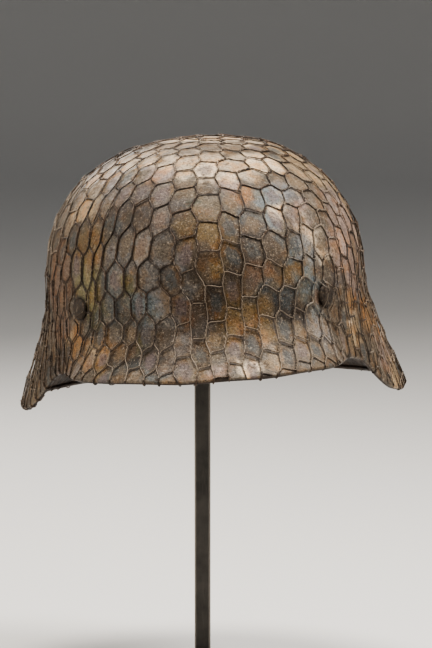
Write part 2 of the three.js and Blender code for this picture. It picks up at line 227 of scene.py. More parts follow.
def over_rim(azimuth, arc):
    """Points and outward directions at an azimuth and a distance from the crown, also past the rim."""
    row = (azimuth + 180) / 360 * MERIDIANS
    low_row = np.clip(np.floor(row).astype(int), 0, MERIDIANS - 1)
    row_share = row - low_row
    rim = rim_arc[low_row] * (1 - row_share) + rim_arc[low_row + 1] * row_share
    past = arc - rim
    column = np.where(
        past <= 0,
        arc / rim * OUTER_STEPS,
        np.where(
            past <= BEAD_LENGTH,
            OUTER_STEPS + past / BEAD_LENGTH * ROUND_STEPS,
            OUTER_STEPS + ROUND_STEPS + past - BEAD_LENGTH,
        ),
    )
    column = np.clip(column, 0, OUTER_STEPS + ROUND_STEPS + INSIDE_STEPS - 1e-6)
    low_column = np.floor(column).astype(int)
    column_share = (column - low_column)[..., None]
    row_share = row_share[..., None]

    def blend(table):
        def at_row(row):
            return table[row, low_column] * (1 - column_share) + table[row, low_column + 1] * column_share

        return at_row(low_row) * (1 - row_share) + at_row(low_row + 1) * row_share

    return blend(meridian_points), unit(blend(meridian_normals)), past


def arc_of(points):
    """How far points near the outer face are from the crown, with their azimuth."""
    azimuth = np.degrees(np.arctan2(points[:, 0], -points[:, 1]))
    order = np.hypot(points[:, 0], points[:, 1]) - points[:, 2]
    row = (azimuth + 180) / 360 * MERIDIANS
    low = np.clip(np.floor(row).astype(int), 0, MERIDIANS - 1)
    arc = np.zeros(len(points))
    for i in np.unique(low):
        here = low == i
        share = row[here] - i
        first = np.interp(order[here], fine_order[i], fine_arc[i])
        second = np.interp(order[here], fine_order[i + 1], fine_arc[i + 1])
        arc[here] = first * (1 - share) + second * share
    return azimuth, arc


def waves(points, wavelength, seed, count=16):
    """A smooth random field with features of about one wavelength, mean 0 and spread 1."""
    random = np.random.default_rng(seed)
    directions = unit(random.normal(size=(count, points.shape[-1])))
    turns = 2 * np.pi / wavelength * random.uniform(0.7, 1.3, count)
    phases = random.uniform(0, 2 * np.pi, count)
    return np.sin(points @ (directions * turns[:, None]).T + phases).sum(-1) * math.sqrt(2 / count)


DENT_DEPTH = 0.28
DENT_WAVELENGTH = 46
DENT_SEED = 5


def dent_at(points):
    return DENT_DEPTH * waves(points, DENT_WAVELENGTH, DENT_SEED)


def dented(points, normals):
    return points + normals * dent_at(points)[..., None]


# The netting: a flat sheet of hexagons laid over the crown, drawn down and hooked under the rim

CELL = 15.3
SIDE = CELL / math.sqrt(3)
SHEET_RADIUS = 215.0

# The wound sides of the cells run straight down where the azimuth is minus this many degrees.
SHEET_TURN = 28.0

# Where the sheet was turned as it was drawn down. The columns are x and y on the flat sheet, the
# turn's reach and its degrees. Small random turns are added to them.
TURNS = (
    (70, -104, 20, -12),
    (-112, -90, 25, 28),
    (112, -70, 26, 10),
    (0, 118, 40, -16),
    (110, 40, 36, 12),
    (-112, 40, 34, -12),
)
RANDOM_TURNS = 110
RANDOM_TURN_REACH = (9, 24)
RANDOM_TURN_DEGREES = 3.5

# Where the netting is bunched. The columns are x, y, half the size across and along, how far the
# wires close up, and how far the cells are drawn out.
BUNCHES = (
    (-50, -92, 40, 50, 0.24, 0.20),
    (-82, -126, 12, 26, 0.60, 0),
    (-54, -150, 9, 18, 0.45, 0),
    (98, -122, 12, 26, 0.55, 0),
    (80, -138, 9, 20, 0.45, 0),
    (64, 150, 10, 24, 0.5, 0),
)
WANDER = 0.8
WANDER_WAVELENGTH = 38


def list_turns():
    random = np.random.default_rng(11)
    turns = list(TURNS)
    for _ in range(RANDOM_TURNS):
        radius = SHEET_RADIUS * math.sqrt(random.uniform())
        angle = random.uniform(0, 2 * math.pi)
        reach = random.uniform(*RANDOM_TURN_REACH)
        degrees = random.normal() * RANDOM_TURN_DEGREES
        turns.append((radius * math.cos(angle), radius * math.sin(angle), reach, degrees))
    return turns


sheet_turns = list_turns()


def spun(xy, angle):
    c, s = np.cos(angle), np.sin(angle)
    return np.stack([c * xy[..., 0] - s * xy[..., 1], s * xy[..., 0] + c * xy[..., 1]], -1)


def twirl(xy, row, sign):
    x, y, reach, degrees = row
    centre = np.array([x, y])
    off = xy - centre
    return centre + spun(off, sign * math.radians(degrees) * np.exp(-(off**2).sum(-1) / (2 * reach**2)))


def bunching(xy):
    """How far the bunches and the sheet's own unevenness move its points."""
    moved = WANDER * np.stack([waves(xy, WANDER_WAVELENGTH, seed) for seed in (51, 52)], -1)
    for x, y, across, along, squeeze, pull in BUNCHES:
        length = math.hypot(x, y)
        out = np.array([x, y]) / length
        side = np.array([-out[1], out[0]])
        off = xy - np.array([x, y])
        a = off @ side
        b = off @ out
        near = np.exp(-(a**2) / (2 * across**2) - b**2 / (2 * along**2))
        moved += (squeeze * a * near)[..., None] * side - (pull * b * near)[..., None] * out
    return moved


DRAWN_STEP = 0.2
DRAWN_REACH = 300


def drawn_down():
    """
    The sheet's radius at each distance from the crown. The dome is narrower than the flat sheet, which
    is drawn together, and because the cells' sides keep their length the cells grow taller.
    """
    arc = np.arange(0, DRAWN_REACH, DRAWN_STEP)
    around = np.zeros(len(arc))
    for i in range(0, MERIDIANS, 8):
        points = skin_point(np.full_like(fine_down, meridian_azimuth[i]), fine_down)
        around += np.interp(arc, fine_arc[i], np.hypot(points[:, 0], points[:, 1])) / (MERIDIANS // 8)
    radius = np.zeros(len(arc))
    for i in range(1, len(arc)):
        width = min(1.0, around[i] / max(radius[i - 1], DRAWN_STEP))
        taller = (1 + math.sqrt(1 - 0.75 * width * width)) / 1.5
        radius[i] = radius[i - 1] + DRAWN_STEP / taller
    return arc, radius


drawn_arc, drawn_radius = drawn_down()


def sheet_from_dome(azimuth, arc):
    """Where points at an azimuth and a distance from the crown lie on the sheet's own lattice."""
    radius = np.interp(arc, drawn_arc, drawn_radius)
    angle = np.radians(azimuth)
    xy = np.stack([radius * np.sin(angle), -radius * np.cos(angle)], -1)
    xy = xy + bunching(xy)
    for row in sheet_turns:
        xy = twirl(xy, row, 1)
    return spun(xy, math.radians(SHEET_TURN))


def dome_from_sheet(lattice):
    """The opposite way: the azimuth and the distance from the crown of points of the lattice."""
    xy = spun(lattice, -math.radians(SHEET_TURN))
    for row in reversed(sheet_turns):
        xy = twirl(xy, row, -1)
    target = xy
    for _ in range(40):
        xy = target - bunching(xy)
    azimuth = np.degrees(np.arctan2(xy[..., 0], -xy[..., 1]))
    return azimuth, np.interp(np.hypot(xy[..., 0], xy[..., 1]), drawn_radius, drawn_arc)


# Pulled taut, the ends of each wound side move sideways until the cells' steep sides hang straighter.
PLUMB = 0.5
PLUMB_FROM_ARC = 30.0


def sideways_shift(azimuth, arc, lattice):
    """
    How far the upper end of a wound side moves against its lower end, in millimetres towards greater
    azimuth. It follows from the wound side's lean, with nothing for a lean of 0 or 60 degrees.
    """
    above_azimuth, above_arc = dome_from_sheet(lattice + np.array([0.0, 0.5]))
    points, _, _ = over_rim(azimuth, arc)
    around = np.hypot(points[..., 0], points[..., 1])
    turn = np.radians((above_azimuth - azimuth + 180) % 360 - 180)
    lean = np.arctan2(around * turn, arc - above_arc)
    share = np.clip((arc - PLUMB_FROM_ARC) / PLUMB_FROM_ARC, 0, 1)
    return -0.5 * SIDE * np.sin(3 * lean) * PLUMB * share, around


# Modelling helpers

def deselect():
    if bpy.context.object and bpy.context.object.mode != "OBJECT":
        bpy.ops.object.mode_set(mode="OBJECT")
    bpy.ops.object.select_all(action="DESELECT")


def choose(piece):
    deselect()
    piece.select_set(True)
    bpy.context.view_layer.objects.active = piece


def extrude_rows(rows, extrude):
    """Extrudes what is selected up through rows of radius and height, resized about Z at each."""
    radius, height = rows[0]
    for next_radius, next_height in rows[1:]:
        extrude(TRANSFORM_OT_translate={"value": (0, 0, next_height - height)})
        share = next_radius / radius
        bpy.ops.transform.resize(value=(share, share, 1), center_override=(0, 0, next_height))
        radius, height = next_radius, next_height


def turned(name, rows, sides):
    """A solid turned about Z from rows of radius and height, extruded from a disc."""
    deselect()
    place = (0, 0, rows[0][1])
    bpy.ops.mesh.primitive_circle_add(vertices=sides, radius=rows[0][0], fill_type="NGON", location=place)
    piece = bpy.context.object
    piece.name = name
    bpy.ops.object.transform_apply(location=True)
    bpy.ops.object.mode_set(mode="EDIT")
    bpy.ops.mesh.select_all(action="SELECT")
    extrude_rows(rows, bpy.ops.mesh.extrude_region_move)
    bpy.ops.mesh.select_all(action="SELECT")
    bpy.ops.mesh.normals_make_consistent(inside=False)
    bpy.ops.object.mode_set(mode="OBJECT")
    return piece


def put_in_place(piece, place):
    """Turns and moves a piece, and keeps that in its mesh."""
    choose(piece)
    piece.matrix_world = place
    bpy.ops.object.transform_apply(location=True, rotation=True, scale=True)


def smooth(piece, degrees):
    choose(piece)
    bpy.ops.object.shade_smooth_by_angle(angle=math.radians(degrees))


def carve(piece, tool, operation):
    choose(piece)
    modifier = piece.modifiers.new("carve", "BOOLEAN")
    modifier.operation = operation
    modifier.solver = "EXACT"
    modifier.object = tool
    bpy.ops.object.modifier_apply(modifier=modifier.name)
    bpy.data.objects.remove(tool)


def mesh_points(mesh):
    points = np.zeros(len(mesh.vertices) * 3, np.float32)
    mesh.vertices.foreach_get("co", points)
    return points.reshape(-1, 3).astype(float)


def write_attribute(mesh, name, kind, field, rows):
    attribute = mesh.attributes.new(name, kind, "POINT")
    attribute.data.foreach_set(field, rows.astype(np.float32).ravel())


def seat_on_skin(azimuth, height, footprint):
    """The place of a thing that stands on the shell's outer face, its own +Z pointing out."""
    def spot(turn, rise):
        at = np.array([azimuth + turn])
        downs = np.linspace(0, 2, 4001)
        heights = skin_point(np.full_like(downs, at[0]), downs)[:, 2]
        down = np.interp(-(height + rise), -heights, downs)
        return skin_point(at, np.array([down]))[0]

    place = spot(0, 0)
    spread = math.degrees(footprint / math.hypot(place[0], place[1]))
    normal = unit(np.cross(spot(0, -footprint) - spot(0, footprint), spot(spread, 0) - spot(-spread, 0)))
    turn = Vector((0, 0, 1)).rotation_difference(Vector(normal)).to_matrix().to_4x4()
    return Matrix.Translation(Vector(place)) @ turn


rivet_seats = [seat_on_skin(azimuth, height, RIVET["head_radius"]) for _, azimuth, height in RIVET_PLACES]


# The shell

AROUND = 288
OUTER_ROWS = 96
BEAD_ROWS = 14
INNER_ROWS = 64
DRILL_REACH = 6


def shell_rows():
    """The closed section of the wall at every azimuth: crown, outer face, bead, inner face, crown."""
    around = np.linspace(-180, 180, AROUND + 1)
    share = np.linspace(0, 1, OUTER_ROWS + 1)
    rim = np.interp(around, meridian_azimuth, rim_arc)
    rows = []
    for part in share:
        points, normals, _ = over_rim(around, part * rim)
        rows.append(dented(points, normals))
    for part in np.linspace(0, 1, BEAD_ROWS + 1)[1:]:
        points, normals, _ = over_rim(around, rim + part * BEAD_LENGTH)
        rows.append(dented(points, skin_normal(around, np.full_like(around, 2.0))))
    for part in np.linspace(1, 0, INNER_ROWS + 1)[1:]:
        points, normals, _ = over_rim(around, part * (rim - BEAD_END))
        rows.append(dented(points, normals) - WALL * normals)
    return np.array(rows)


def vent_rows():
    """Radius and height over the stamped ring of a vent, from its root in the wall to its hole."""
    root, crest = VENT["root"], VENT["crest"]
    hole, ring = VENT["hole_radius"], VENT["ring_radius"]
    core, half_crest = 0.4, 0.7
    middle = (hole + ring) / 2
    return [
        (core, -root),
        (ring, -root),
        (ring, 0),
        (middle + half_crest, crest * 0.75),
        (middle, crest),
        (middle - half_crest, crest * 0.85),
        (hole, crest / 2),
        (core, crest / 2),
    ]


def drill_hole(shell, seat, radius):
    drill = turned("drill", [(radius, -DRILL_REACH), (radius, DRILL_REACH)], 32)
    put_in_place(drill, seat)
    carve(shell, drill, "DIFFERENCE")


def make_shell():
    rows = shell_rows()
    deselect()
    bpy.ops.mesh.primitive_grid_add(x_subdivisions=AROUND, y_subdivisions=len(rows) - 1, size=1)
    shell = bpy.context.object
    shell.name = "helmet_shell"
    shell.data.vertices.foreach_set("co", rows.reshape(-1).astype(np.float32))
    shell.data.update()
    bpy.ops.object.mode_set(mode="EDIT")
    bpy.ops.mesh.select_all(action="SELECT")
    bpy.ops.mesh.remove_doubles(threshold=1e-3)
    bpy.ops.mesh.normals_make_consistent(inside=False)
    bpy.ops.object.mode_set(mode="OBJECT")
    for side in (-1, 1):
        seat = seat_on_skin(side * VENT["azimuth"], VENT["height"], VENT["ring_radius"])
        stamp = turned("vent_stamp", vent_rows(), 40)
        put_in_place(stamp, seat)
        carve(shell, stamp, "UNION")
        drill_hole(shell, seat, VENT["hole_radius"])
    for seat in rivet_seats:
        drill_hole(shell, seat, RIVET_HOLE_RADIUS)
    give_sheet_places(shell)
    return shell


# Camera, at the photograph's angle

FOCAL_PIXELS = 2805.0
PICTURE_WIDTH = 432.0
PICTURE_HEIGHT = 648.0
CAMERA_DISTANCE = 1.7
CAMERA_ELEVATION = 6.86
CAMERA_AZIMUTH = 1.2
AIM_RIGHT = 3.79
AIM_UP = 15.58


def direction(azimuth, elevation):
    """The direction out from the object, in degrees from the visor's and up."""
    a, e = math.radians(azimuth), math.radians(elevation)
    return Vector((math.sin(a) * math.cos(e), -math.cos(a) * math.cos(e), math.sin(e)))


def add_facing(name, data, spot, away):
    """Adds a camera or a lamp at a spot, looking against a direction."""
    thing = bpy.data.objects.new(name, data)
    thing.location = spot
    thing.rotation_mode = "QUATERNION"
    thing.rotation_quaternion = (-away).to_track_quat("-Z", "Y")
    bpy.context.scene.collection.objects.link(thing)
    return thing


def camera_axes():
    """Where the camera stands, and its directions to the right, up and back."""
    back = direction(CAMERA_AZIMUTH, CAMERA_ELEVATION)
    azimuth = math.radians(CAMERA_AZIMUTH)
    right = Vector((math.cos(azimuth), math.sin(azimuth), 0))
    up = back.cross(right)
    aim = Vector(HELMET_SHIFT) * MM + right * AIM_RIGHT * MM + up * AIM_UP * MM
    return aim + back * CAMERA_DISTANCE, right, up, back


def place_camera():
    spot, _, _, back = camera_axes()
    data = bpy.data.cameras.new("camera")
    data.sensor_width = 36.0
    data.lens = data.sensor_width * FOCAL_PIXELS / PICTURE_HEIGHT
    bpy.context.scene.camera = add_facing("camera", data, spot, back)


def skin_in_picture():
    """Points over the front of the outer face, where the picture shows them and how far off they are."""
    azimuth, down = np.meshgrid(np.arange(-120, 121, 1.0), np.linspace(0.02, 2, 240), indexing="ij")
    points = skin_point(azimuth, down).reshape(-1, 3)
    spot, right, up, back = (np.array(item) for item in camera_axes())
    place = np.array(helmet_place)
    away = points @ place[:3, :3].T + place[:3, 3] - spot
    depth = -(away @ back)
    x = PICTURE_WIDTH / 2 + FOCAL_PIXELS * (away @ right) / depth
    y = PICTURE_HEIGHT / 2 - FOCAL_PIXELS * (away @ up) / depth
    return points, x, y, depth


picture_points, picture_x, picture_y, picture_depth = skin_in_picture()


def point_in_picture(x, y):
    """The point of the outer face that the picture shows at x, y."""
    off = np.hypot(picture_x - x, picture_y - y)
    return picture_points[np.argmin(off + 20 * picture_depth)]


def point_on_skin(azimuth, height):
    downs = np.linspace(0, 2, 401)
    line = skin_point(np.full_like(downs, float(azimuth)), downs)
    return line[np.argmin(np.abs(line[:, 2] - height))]


# Paint: patches of worn colour, by where they are in the picture and their reach on the shell. Some light
# patches on the flanks are partly painted highlights.

PALETTE = {
    "tan": (0.29, 0.212, 0.128),
    "sand": (0.140, 0.104, 0.063),
    "pale": (0.58, 0.465, 0.335),
    "pink": (0.27, 0.195, 0.160),
    "ochre": (0.138, 0.088, 0.034),
    "orange": (0.235, 0.130, 0.052),
    "brown": (0.072, 0.050, 0.031),
    "rust": (0.130, 0.076, 0.045),
    "violet": (0.098, 0.080, 0.068),
    "grey": (0.150, 0.135, 0.122),
    "slate": (0.074, 0.079, 0.077),
    "green": (0.066, 0.070, 0.046),
    "olive": (0.140, 0.120, 0.052),
    "blue": (0.125, 0.150, 0.155),
    "pale_grey_and_sheen": (0.20, 0.20, 0.195),
    "black": (0.026, 0.022, 0.018),
}
BASE_PAINT = (0.115, 0.090, 0.064)

# Later patches lie over earlier ones. The columns are the paint, x and y in the picture, and the reach
# on the shell.
PATCHES = (
    # The tan patch at 85, 203 is partly a painted highlight.
    ("pale", 216, 137, 36), ("tan", 110, 170, 18), ("tan", 140, 160, 20), ("tan", 300, 163, 20),
    ("tan", 335, 185, 20), ("pink", 345, 225, 22), ("tan", 85, 203, 14), ("pale", 200, 166, 16),
    ("pale", 235, 166, 16), ("pale", 172, 165, 13), ("pale", 262, 160, 12), ("pale", 225, 179, 8),
    ("pale", 195, 179, 7), ("pink", 160, 174, 11), ("pink", 228, 190, 9), ("orange", 247, 195, 6),
    ("sand", 190, 194, 10), ("violet", 118, 190, 9), ("violet", 148, 190, 9), ("violet", 130, 212, 19),
    ("violet", 165, 214, 17), ("slate", 110, 235, 13), ("grey", 120, 255, 14), ("grey", 150, 255, 14),
    ("grey", 150, 285, 14), ("grey", 180, 270, 13), ("grey", 180, 305, 14), ("ochre", 88, 245, 14),
    ("olive", 88, 285, 14), ("olive", 95, 310, 12), ("rust", 60, 270, 18), ("rust", 58, 300, 18),
    ("rust", 60, 330, 14), ("slate", 110, 280, 11), ("slate", 115, 305, 11), ("blue", 138, 300, 8),
    ("olive", 125, 285, 7), ("orange", 134, 270, 4), ("orange", 170, 278, 4), ("blue", 152, 318, 9),
    ("slate", 120, 322, 9), ("grey", 165, 332, 13), ("brown", 150, 352, 15), ("brown", 122, 356, 11),
    ("olive", 142, 348, 7), ("orange", 103, 347, 10), ("orange", 75, 345, 13), ("orange", 88, 355, 8),
    ("tan", 70, 342, 7), ("tan", 92, 352, 6), ("ochre", 205, 225, 13), ("ochre", 225, 228, 13),
    ("ochre", 190, 225, 8), ("sand", 225, 205, 10), ("sand", 205, 203, 9), ("green", 186, 204, 6),
    ("slate", 243, 215, 6), ("black", 243, 240, 7), ("brown", 262, 236, 10), ("brown", 275, 260, 9),
    ("ochre", 222, 255, 10), ("brown", 203, 262, 11), ("brown", 222, 285, 12), ("ochre", 222, 272, 7),
    ("brown", 245, 270, 11), ("rust", 258, 272, 7), ("ochre", 290, 272, 9), ("blue", 292, 258, 5),
    ("slate", 258, 290, 7), ("slate", 277, 292, 8), ("slate", 293, 290, 8), ("blue", 310, 285, 10),
    ("ochre", 240, 310, 11), ("ochre", 262, 310, 8), ("black", 282, 312, 9), ("black", 300, 312, 8),
    ("orange", 222, 312, 5), ("brown", 205, 305, 9), ("rust", 186, 310, 8), ("pale_grey_and_sheen", 285, 190, 9),
    # The light grey and pale patches from x 282 to 322, y 190 to 258, are partly painted highlights: the
    # sheen on the right flank.
    ("slate", 268, 178, 5), ("blue", 265, 195, 7), ("blue", 262, 213, 8), ("pale", 282, 210, 7),
    ("pink", 303, 212, 9), ("pale", 312, 235, 10), ("slate", 281, 234, 7), ("pale_grey_and_sheen", 300, 240, 8),
    ("pale_grey_and_sheen", 308, 258, 9), ("pale", 322, 252, 7), ("pink", 340, 250, 14), ("violet", 335, 282, 8),
    ("pink", 350, 272, 12), ("orange", 365, 308, 13), ("pink", 356, 290, 8), ("pale", 350, 320, 8),
    ("tan", 355, 335, 11), ("orange", 352, 300, 9), ("orange", 378, 330, 12), ("pink", 385, 355, 14),
    ("tan", 395, 375, 12), ("blue", 320, 318, 8), ("grey", 325, 332, 10), ("ochre", 225, 332, 10),
    ("orange", 248, 327, 6), ("ochre", 268, 333, 9), ("sand", 290, 333, 9), ("violet", 200, 330, 10),
    ("violet", 187, 345, 9), ("sand", 212, 345, 7), ("orange", 262, 345, 6), ("sand", 240, 350, 6),
    ("pink", 218, 370, 7), ("pale", 250, 366, 6), ("tan", 278, 361, 8), ("sand", 195, 366, 10),
    ("violet", 175, 368, 8), ("sand", 315, 352, 10), ("grey", 335, 350, 9), ("slate", 112, 374, 7),
    # The black patch at 145, 356 is painted shade that darkens the upturned flare.
    ("slate", 132, 370, 6), ("black", 145, 356, 9), ("slate", 155, 372, 6), ("ochre", 95, 366, 7),
    ("brown", 45, 362, 13), ("sand", 35, 388, 12), ("brown", 60, 365, 10),
)
HIDDEN_PATCHES = 70
HIDDEN_AZIMUTHS = (96, 264)
HIDDEN_HEIGHTS = (-26, 118)
HIDDEN_REACHES = (12, 26)
HIDDEN_PAINTS = (
    "tan", "ochre", "brown", "violet", "green", "blue", "pink", "sand", "slate", "grey", "tan", "olive",
)


def list_patches():
    """The paint, centre and reach of the patches in the picture, and of like ones out of its sight."""
    random = np.random.default_rng(23)
    patches = []
    for _ in range(HIDDEN_PATCHES):
        azimuth = random.uniform(*HIDDEN_AZIMUTHS)
        height = random.uniform(*HIDDEN_HEIGHTS)
        paint = HIDDEN_PAINTS[random.integers(len(HIDDEN_PAINTS))]
        centre = point_on_skin((azimuth + 180) % 360 - 180, height)
        patches.append((paint, centre, random.uniform(*HIDDEN_REACHES)))
    return patches + [(paint, point_in_picture(x, y), reach) for paint, x, y, reach in PATCHES]


paint_patches = list_patches()


# How far the patches' edges stray, the waves that they stray in, their softness and their cover.
DRIFT = 2.2
DRIFT_WAVELENGTH = 15
FRINGE_WAVELENGTH = 7
EDGE = 0.5
COVER = 0.88

# The dark ring round each rivet, grime and painted shade: how much paint still shows at the head, and the
# ring's width.
GRIME_AND_SHADE_LEAST = 0.15
GRIME_AND_SHADE_WIDTH = 2.2


def paint_at(points):
    """The worn paint's colour at points of the shell, with painted highlights in some patches and painted
    shade round the rivets.
    """
    colour = np.tile(np.array(BASE_PAINT), (len(points), 1))
    drift = np.stack([waves(points, DRIFT_WAVELENGTH, seed) for seed in (31, 32, 33)], -1)
    ragged = points + DRIFT * drift
    fringe = waves(points, FRINGE_WAVELENGTH, 34)
    for paint, centre, reach in paint_patches:
        distance = np.linalg.norm(ragged - centre, axis=1) / reach
        share = np.clip((1.2 - distance + 0.10 * fringe) / EDGE, 0, 1)
        share = (share * share * (3 - 2 * share) * COVER)[:, None]
        colour = colour * (1 - share) + np.array(PALETTE[paint]) * share
    # Grime and painted shade darken the paint round each rivet's head.
    for seat in rivet_seats:
        distance = np.linalg.norm(points - np.array(seat.translation), axis=1) - RIVET["head_radius"]
        clear = np.clip((distance - 0.3 + 0.4 * fringe) / GRIME_AND_SHADE_WIDTH, 0, 1)
        colour *= (GRIME_AND_SHADE_LEAST + (1 - GRIME_AND_SHADE_LEAST) * clear)[:, None]
    return colour


# Deeper than this below the outer face, the wall has its inner face's colour.
INSIDE_FROM = 1.15
INSIDE_BLEND = 0.35


def give_paint(mesh, points):
    colour = np.concatenate([paint_at(points), np.ones((len(points), 1))], 1)
    write_attribute(mesh, "paint_with_painted_light", "FLOAT_COLOR", "color", colour)


def give_sheet_places(shell):
    """Writes on the shell where each point lies on the netting's sheet, and its paint."""
    mesh = shell.data
    points = mesh_points(mesh)
    azimuth, arc = arc_of(points)
    lattice = sheet_from_dome(azimuth, arc)
    shift, around = sideways_shift(azimuth, arc, lattice)
    beside = azimuth + np.degrees(0.5 / np.maximum(around, 5))
    sideways = (sheet_from_dome(beside, arc) - lattice) * shift[:, None] / CELL
    lattice = lattice / CELL
    skin, normal, _ = over_rim(azimuth, arc)
    depth = ((points - skin) * normal).sum(-1) - dent_at(points)
    outside = np.clip((depth + INSIDE_FROM) / INSIDE_BLEND, 0, 1)
    place = np.stack([lattice[:, 0], lattice[:, 1], outside], -1)
    write_attribute(mesh, "net_place", "FLOAT_VECTOR", "vector", place)
    moved = np.concatenate([sideways, np.zeros((len(points), 1))], 1)
    write_attribute(mesh, "net_shift", "FLOAT_VECTOR", "vector", moved)
    give_paint(mesh, points)


# Wires

WIRE_RADIUS = 0.31
TWIST_RADIUS = 0.34
TWIST_TURNS = 2
TWIST_SAMPLES = 15
SINGLE_SAMPLES = 5
HOOK_LENGTH = (1.5, 6.5)
HOOK_WAVELENGTH = 16
DIP_LENGTH = 0.9
FLARE_LIFT = 0.9
FLARE_REACH = 60
LOOSE_LIFT = 0.5
LOOSE_WAVELENGTH = 30
RIM_EASE = 12.0
SHORTEST_RUN = 10.0


def lane_samples(lane):
    """One wire on the lattice: it zigzags between two columns, wound with a neighbour on each upright."""
    rows = int(SHEET_RADIUS / (1.5 * SIDE)) + 2
    spots = []
    for row in range(-rows, rows + 1):
        own = (lane + row) % 2 == 0
        column = lane if own else lane + 1
        next_column = lane + 1 if own else lane
        hand = 1 if own else -1
        middle = 1.5 * SIDE * row
        for k in range(TWIST_SAMPLES):
            share = k / (TWIST_SAMPLES - 1)
            spots.append((column * CELL / 2, middle + (share - 0.5) * SIDE, hand, share, 2 * share - 1))
        for k in range(1, SINGLE_SAMPLES + 1):
            share = k / (SINGLE_SAMPLES + 1)
            x = (column + (next_column - column) * share) * CELL / 2
            spots.append((x, middle + SIDE / 2 + share * SIDE / 2, 0, 0, 1 - 2 * share))
    return np.array(spots)


# How far beyond a rivet's head the wires start to rise, over what length, and their room above it.
RISE_MARGIN = 3.5
RISE_LENGTH = 4.5
HEAD_ROOM = 0.2


def rivet_lift(points):
    """How far wires are lifted where they cross a rivet's head."""
    over_head = RIVET["head_height"] + RIVET["gap"] + HEAD_ROOM
    lift = np.zeros(points.shape[:-1])
    for seat in rivet_seats:
        off = points - np.array(seat.translation)
        distance = np.linalg.norm(off, axis=-1)
        share = np.clip((RIVET["head_radius"] + RISE_MARGIN - distance) / RISE_LENGTH, 0, 1)
        lift = np.maximum(lift, share * share * (3 - 2 * share) * over_head)
    return lift


def dips(past):
    """The stretches of a wire that go over the rim and come back, which are cut off there."""
    crossings = np.flatnonzero(np.diff((past > 0).astype(int))) + 1
    if past[0] > 0:
        crossings = crossings[1:]
    return list(zip(crossings[::2], crossings[1::2]))


def wire_runs(lane):
    """The runs of one wire that lie on the dome or hook round its rim, as points in the helmet's frame."""
    random = np.random.default_rng(1000 + lane)
    spots = lane_samples(lane)
    lattice = spots[:, :2].copy()
    lattice[1:-1] = (lattice[:-2] + 2 * lattice[1:-1] + lattice[2:]) / 4
    azimuth, arc = dome_from_sheet(lattice)
    shift, around = sideways_shift(azimuth, arc, lattice)
    azimuth = azimuth + np.degrees(spots[:, 4] * shift / 2 / np.maximum(around, 20))
    azimuth = (azimuth + 180) % 360 - 180
    points, normals, past = over_rim(azimuth, arc)
    shortest, longest = HOOK_LENGTH
    hook = shortest + (longest - shortest) * (0.5 + 0.5 * np.tanh(waves(lattice, HOOK_WAVELENGTH, 77)))
    kept = past < hook
    for start, end in dips(past):
        kept[start:end] &= past[start:end] < DIP_LENGTH
    flare = np.sin(np.pi * np.clip(-past / FLARE_REACH, 0, 1))
    loose = np.clip(waves(lattice, LOOSE_WAVELENGTH, 41), 0, 1.5) * np.clip(-past / RIM_EASE, 0, 1)
    twisted = spots[:, 2] != 0
    pressed = np.clip((past + 1) / 2, 0, 1)
    twist_radius = TWIST_RADIUS * (1 - 0.5 * pressed)
    lift = WIRE_RADIUS + np.where(twisted, twist_radius, 0.1 * (1 - pressed))
    lift = lift + FLARE_LIFT * flare + LOOSE_LIFT * loose + rivet_lift(points)
    lift[1:-1] = (lift[:-2] + lift[1:-1] + lift[2:]) / 3
    pushed = np.where((past > 0)[:, None], skin_normal(azimuth, np.full_like(azimuth, 2.0)), normals)
    centre = dented(points, pushed) + normals * lift[:, None]
    along = unit(np.gradient(centre, axis=0))
    side = unit(np.cross(along, normals))
    phase = 2 * np.pi * TWIST_TURNS * spots[:, 3] + random.uniform(-0.25, 0.25)
    wound = (twist_radius * spots[:, 2])[:, None] * (
        np.cos(phase)[:, None] * side + np.sin(phase)[:, None] * normals
    )
    path = centre + np.where(twisted[:, None], wound, 0)
    edges = np.flatnonzero(np.diff(np.concatenate([[0], kept, [0]])))
    runs = [path[start:end] for start, end in zip(edges[::2], edges[1::2])]
    return [run for run in runs if np.linalg.norm(np.diff(run, axis=0), axis=1).sum() > SHORTEST_RUN]


# Where paint is left on the wires. The columns are a place's azimuth and height on the shell, its
# reach, and how much of the wires it covers.
WIRE_PAINT = (
    (14, 46, 40, 0.9), (0, 20, 36, 0.8), (28, 30, 36, 0.9), (40, 75, 28, 0.7), (60, 95, 36, 0.5),
    (-75, 85, 36, 0.9), (-20, 4, 40, 0.7), (30, 5, 45, 0.8), (85, 0, 55, 0.5), (-85, 0, 55, 0.4),
    (0, 122, 45, 0.45), (180, 40, 70, 0.6), (140, 20, 50, 0.6), (-140, 20, 50, 0.7), (180, 100, 40, 0.4),
)
WIRE_PAINT_LEAST = 0.12


def give_wire_paint(piece):
    mesh = piece.data
    points = mesh_points(mesh)
    share = np.full(len(points), WIRE_PAINT_LEAST)
    for azimuth, height, reach, covered in WIRE_PAINT:
        distance = np.linalg.norm(points - point_on_skin(azimuth, height), axis=1) / reach
        share = np.maximum(share, covered * np.exp(-(distance**2)))
    azimuth = np.degrees(np.arctan2(points[:, 0], -points[:, 1]))
    share *= np.clip((points[:, 2] - rim_height_at(azimuth) + 0.3) / 1.6, 0, 1)
    write_attribute(mesh, "paint_left", "FLOAT", "value", share)
    give_paint(mesh, points)


